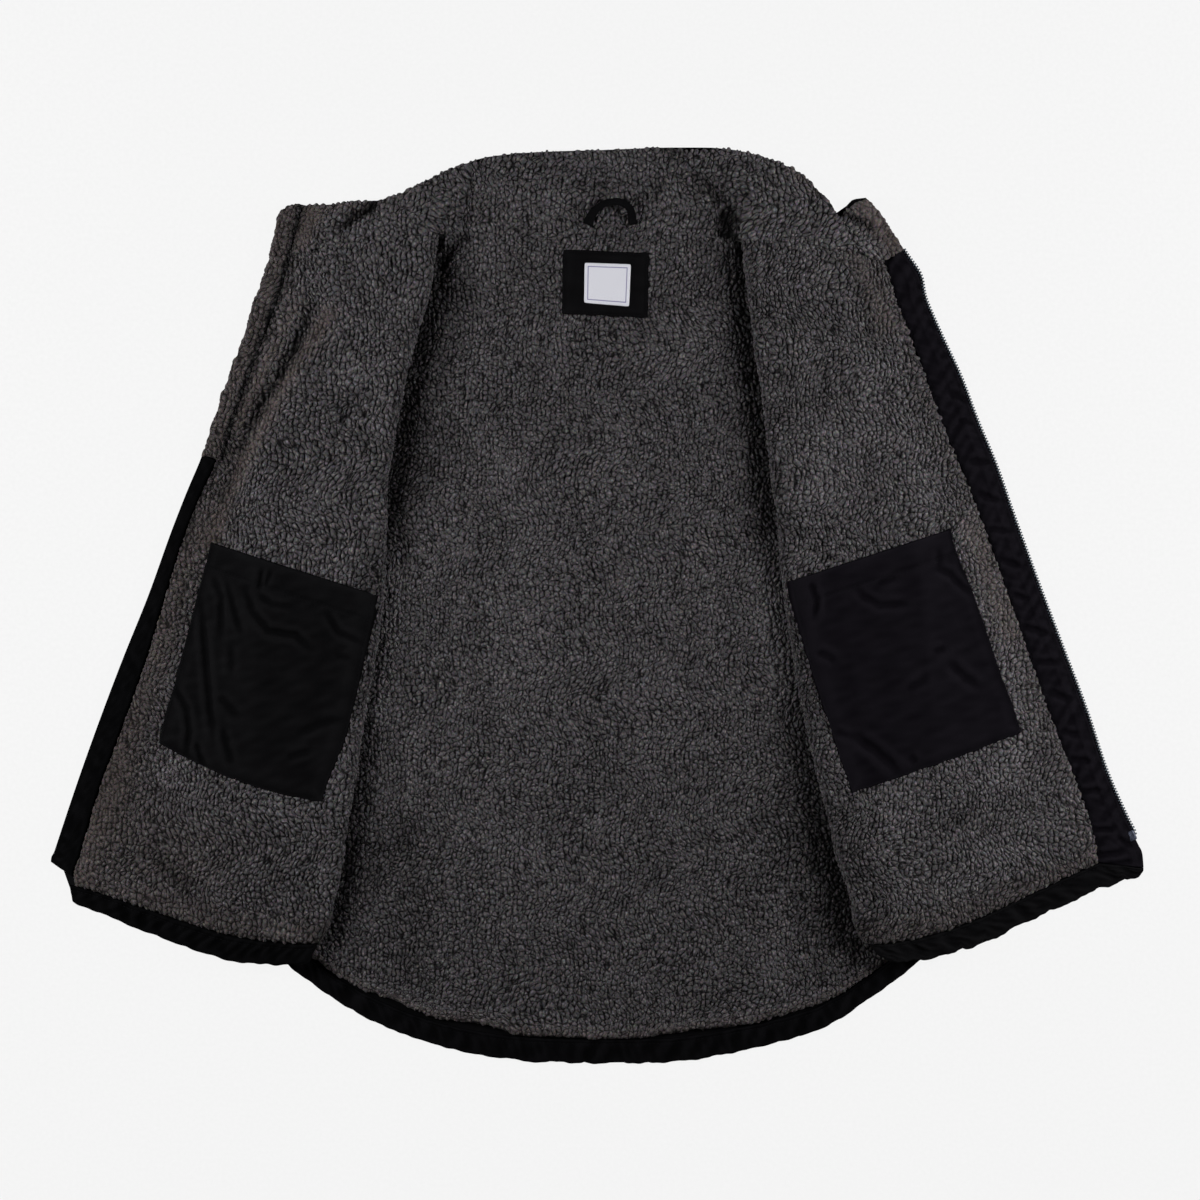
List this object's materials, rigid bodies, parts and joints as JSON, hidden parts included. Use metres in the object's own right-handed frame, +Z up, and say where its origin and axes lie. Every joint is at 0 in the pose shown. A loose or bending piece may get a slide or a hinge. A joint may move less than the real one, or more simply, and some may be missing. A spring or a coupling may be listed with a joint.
{
  "type": "pile-lined waistcoat laid open",
  "caption": "Pile-lined cotton work waistcoat lying open on its back, fronts folded out to show the lining, inner patch pockets, zip and wind flap.",
  "frame": {"origin": "middle of the outline in plan, on the surface the garment lies on", "axes": "+X from the wearer's right front edge to the left one, +Y from hem to collar, +Z up off the surface"},
  "size_m": [0.8991, 0.754, 0.0286],
  "materials": {
    "shell_cotton": "matt black woven cotton, softly creased",
    "pile_lining": "curly knitted pile, dark warm grey",
    "zip_tape": "black herringbone tape",
    "zip_metal": "bright silver zip metal",
    "neck_label": "white woven label, bare"
  },
  "bodies": {
    "root": {"shell_back": "shell_cotton", "shell_front_right": "shell_cotton", "shell_front_left": "shell_cotton", "shell_collar": "shell_cotton", "lining_back": "pile_lining", "lining_front_right": "pile_lining", "lining_front_left": "pile_lining", "lining_collar": "pile_lining", "hem_band_back": "shell_cotton", "hem_band_front_right": "shell_cotton", "hem_band_front_left": "shell_cotton", "facing_left": "shell_cotton", "wind_flap_upper": "pile_lining", "wind_flap_lower": "shell_cotton", "pocket_right": "shell_cotton", "pocket_left": "shell_cotton", "label_patch": "shell_cotton", "neck_label": "neck_label", "hanger_loop": "shell_cotton", "zip_tape_right": "zip_tape", "zip_tape_left": "zip_tape", "zip_chain_right": "zip_metal", "zip_chain_left": "zip_metal", "zip_end_left": "zip_metal", "zip_slider_right": "zip_metal", "zip_box_right": "zip_metal"}
  },
  "joints": []
}
